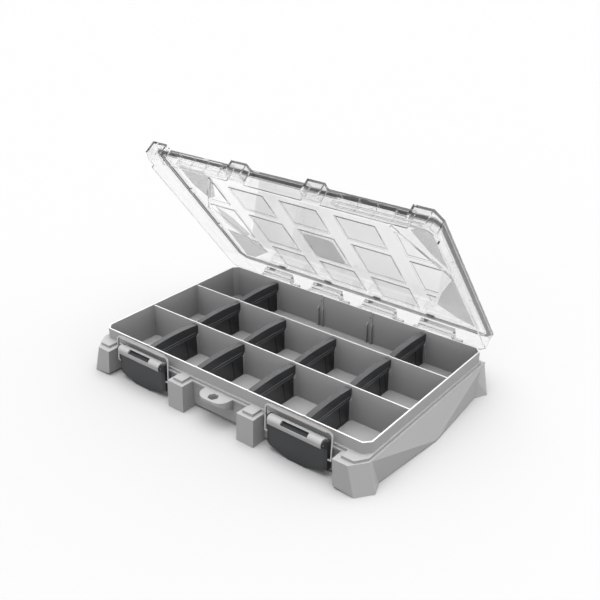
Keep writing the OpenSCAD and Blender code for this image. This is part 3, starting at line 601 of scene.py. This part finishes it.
# %% Sweep the seal
LID_OPEN = radians(52.24)
HINGE = Vector((0, 0.114, 0.0346))
LID_PLACE = (Matrix.Translation(HINGE) @ Matrix.Rotation(-LID_OPEN, 4, "X")
             @ Matrix.Translation(-HINGE))
HALF_X, HALF_Y, CHAMFER_X, CHAMFER_Y = 165.0, 99.8, 5.8, 6.3
FRONT_REACH = 0.6
LIPS = [(-2.7, 44.44), (1.9, 44.44), (1.9, 43.8), (1.5, 43.5), (0.3, 43.5), (-0.1, 43.75),
        (-0.8, 43.75), (-1.2, 43.5), (-2.3, 43.5), (-2.7, 43.8)]


def rim_outline(grow):
    """The rim's middle line in mm, moved out by grow, or in where grow is negative."""
    x, y = HALF_X + grow, HALF_Y + grow
    front = -y - FRONT_REACH * min(grow, 0.0)
    cut_x, cut_y = CHAMFER_X + grow / 2, CHAMFER_Y + grow / 2
    return [(-x + cut_x, front), (x - cut_x, front), (x, front + cut_y), (x, y - cut_y),
            (x - cut_x, y), (-x + cut_x, y), (-x, y - cut_y), (-x, front + cut_y)]


def ring_on_lid(name, loops, material):
    """A closed ring. Each loop is an outline and its height in mm, as with the lid shut."""
    mesh = bmesh.new()
    rows = [[mesh.verts.new(Vector((x, y, z)) * MM) for x, y in outline] for outline, z in loops]
    for one, other in zip(rows, rows[1:] + rows[:1]):
        for k in range(len(one)):
            mesh.faces.new((one[k - 1], one[k], other[k], other[k - 1]))
    return add_piece(name, mesh, material, "lid", LID_PLACE)


seal_strip = ring_on_lid("seal_strip", [(rim_outline(grow), z) for grow, z in LIPS], seal_rubber)
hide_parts("lid_seal")
print("seal faces:", len(seal_strip.data.polygons))

# %% [markdown]
# ## Clips, rail and tabs at the seal
#
# Four small pale clips behind each latch hold the seal in its place. At the back a pale rail
# covers it, and dark rubber tabs show in front of the rail. All are written as they lie with the
# lid shut. They could be parented to the lid and turned with it, but a matrix that opens the lid
# is simpler, because it goes straight into their meshes.

# %% Add the clips, the rail and the tabs
CLIP_STEPS, CLIP_HALF, CLIP_FRONT, CLIP_BACK = (-28.2, -9.4, 9.4, 28.2), 0.5, -101.7, -97.2
CLIP_LOW, RAIL_LOW, CLIP_TOP = 43.22, 43.42, 43.48
RAIL_HALF, RAIL_FRONT, RAIL_BACK = 157, 96.9, 102.2
TABS, TAB_LOW, TAB_TOP = 4, 43.6, 44.4
TAB = [(-4.6, 93.4), (5.2, 93.4), (3.6, 96.8), (-3.6, 96.8)]


def on_lid(name, outline, low, high, material):
    return plate(name, outline, low, high, material, "lid", place=LID_PLACE)


for side, s in SIDES:
    for k, step in enumerate(CLIP_STEPS):
        x = s * LATCH_X + step
        on_lid(f"{side}_seal_clip_{k + 1}",
               oblong(x - CLIP_HALF, x + CLIP_HALF, CLIP_FRONT, CLIP_BACK),
               CLIP_LOW, CLIP_TOP, clip_plastic)
on_lid("seal_rail", oblong(-RAIL_HALF, RAIL_HALF, RAIL_FRONT, RAIL_BACK), RAIL_LOW, CLIP_TOP,
       clip_plastic)
for k in range(TABS):
    x = COLUMN * (k - (TABS - 1) / 2)
    on_lid(f"seal_tab_{k + 1}", [(x + dx, y) for dx, y in TAB], TAB_LOW, TAB_TOP, seal_rubber)
print("clips:", len(SIDES) * len(CLIP_STEPS), "tabs:", TABS)

# %% [markdown]
# ## Ridges and slanted strips
#
# A long low ridge under the plate stiffens the lid behind each latch. It could be drawn as lines
# in the material, but a real ring of clear plastic bends the light as the plate's own steps do.
# The slanted rib at each end of a real lid shows a broken dark line, because its steep sides bend
# the light away. Here the rib alone gives too faint a line, so a thin dark strip inside it stands
# in for that. STRIP_SHAPE lists shares of the strip's length and half its width there.

# %% Add the ridges and the strips
CATCH_RIDGE = [(54, -89), (140, -89), (144, -86), (144, -83), (141, -80), (56, -80), (52, -83),
               (51, -86)]
RIDGE_WIDTH, RIDGE_LOW, RIDGE_TOP = 1.3, 43.3, 44.45
STRIP_FROM, STRIP_TO = Vector((122.4, -53.8)), Vector((151.9, -6.9))
STRIP_SHAPE = [(0.1, 0.1), (0.22, 0.6), (0.42, 0.5), (0.46, 0.2), (0.88, 0.2), (1.0, 0.45)]
STRIP_LOW, STRIP_TOP = 42.75, 43.1


def mitred(outer, width):
    """The outline that lies width inside another, given anticlockwise."""
    inner = []
    for k, corner in enumerate(outer):
        before = (Vector(corner) - Vector(outer[k - 1])).normalized()
        after = (Vector(outer[(k + 1) % len(outer)]) - Vector(corner)).normalized()
        normal = Vector((-before.y - after.y, before.x + after.x))
        share = 2.0 / normal.length_squared
        inner.append((corner[0] + width * share * normal.x, corner[1] + width * share * normal.y))
    return inner


for side, outer in (("right", CATCH_RIDGE),
                    ("left", [(-x, y) for x, y in reversed(CATCH_RIDGE)])):
    inner = mitred(outer, RIDGE_WIDTH)
    ring_on_lid(f"{side}_catch_ridge", [(outer, RIDGE_LOW), (outer, RIDGE_TOP),
                                        (inner, RIDGE_TOP), (inner, RIDGE_LOW)],
                clear_plastic)

across = Vector((STRIP_TO.y - STRIP_FROM.y, STRIP_FROM.x - STRIP_TO.x)).normalized()
one_edge, other_edge = ([tuple(STRIP_FROM.lerp(STRIP_TO, share) + sign * half * across)
                         for share, half in STRIP_SHAPE] for sign in (1, -1))
for side, s in SIDES:
    on_lid(f"{side}_slant_strip", [(s * x, y) for x, y in one_edge + other_edge[::-1]],
           STRIP_LOW, STRIP_TOP, seal_rubber)
print("strips", round((STRIP_TO - STRIP_FROM).length, 1), "mm long")

# %% [markdown]
# ## Frosted areas of the lid
#
# Some areas of the clear lid have a fine grain moulded in, which scatters light and looks pale
# grey: fields along each end, one plain panel in the middle and, more faintly, the other panels.
# The grain could be a mask in the lid's material. Thin plates just under the lid are easier to
# outline exactly, and each has a plain see-through grey.

# %% Lay the frosted plates under the lid
PLATE_LOW, PANEL_DROP, FROST_THICK, FROST_GAP = 44.5, 1.1, 0.1, 0.02
RIGHT_FIELDS = [
    [(129, -73), (134, -77), (145, -81), (151.5, -74), (152.5, -19), (146.4, -27), (139, -41)],
    [(151, -3.5), (153, 50), (154, 90), (134, 80), (116, 62), (131, 30)],
]
LEFT_FIELDS = [
    [(-149, -79), (-149, -48), (-138.6, -27), (-124, -35.5), (-107, -68), (-113, -79)],
    [(-137.2, -14.7), (-142, 18), (-129, 44), (-113, 31.4), (-122, 4)],
    [(-151.8, 38), (-154.3, 94), (-139.9, 92), (-105.3, 66), (-122.4, 42)],
]
PANEL_ROWS, PANEL_HALF_X, PANEL_CUT = ((-43.4, 18.7), (11.3, 25.1), (65.9, 19.1)), 22.2, 1.0
MIDDLE_Y, MIDDLE_HALF_X, MIDDLE_HALF_Y, MIDDLE_CUT = 11.3, 19.0, 22.0, 4.0


def frost(name, outline, level, material=frosted_plastic):
    on_lid(name, outline, level - FROST_THICK, level, material)


def panel(x, y, half_x, half_y, cut):
    """An oblong with its corners cut off."""
    return [(x + sx * (half_x - a), y + sy * (half_y - b)) for sx, sy, a, b in (
        (-1, -1, 0, cut), (-1, -1, cut, 0), (1, -1, cut, 0), (1, -1, 0, cut),
        (1, 1, 0, cut), (1, 1, cut, 0), (-1, 1, cut, 0), (-1, 1, 0, cut))]


for side, fields in (("right", RIGHT_FIELDS), ("left", LEFT_FIELDS)):
    for k, field in enumerate(fields):
        frost(f"lid_frost_{side}_{k + 1}", field, PLATE_LOW - FROST_GAP)
for row, (y, half) in enumerate(PANEL_ROWS):
    for column in (-1, 0, 1):
        frost(f"lid_panel_{row + 1}_{column + 2}",
              panel(COLUMN * column, y, PANEL_HALF_X, half, PANEL_CUT),
              PLATE_LOW - PANEL_DROP - FROST_GAP, satin_plastic)
frost("lid_frost_middle", panel(0.0, MIDDLE_Y, MIDDLE_HALF_X, MIDDLE_HALF_Y, MIDDLE_CUT),
      PLATE_LOW - PANEL_DROP - FROST_THICK - 2 * FROST_GAP)
print("frosted plates:", len(RIGHT_FIELDS) + len(LEFT_FIELDS) + 3 * len(PANEL_ROWS) + 1)
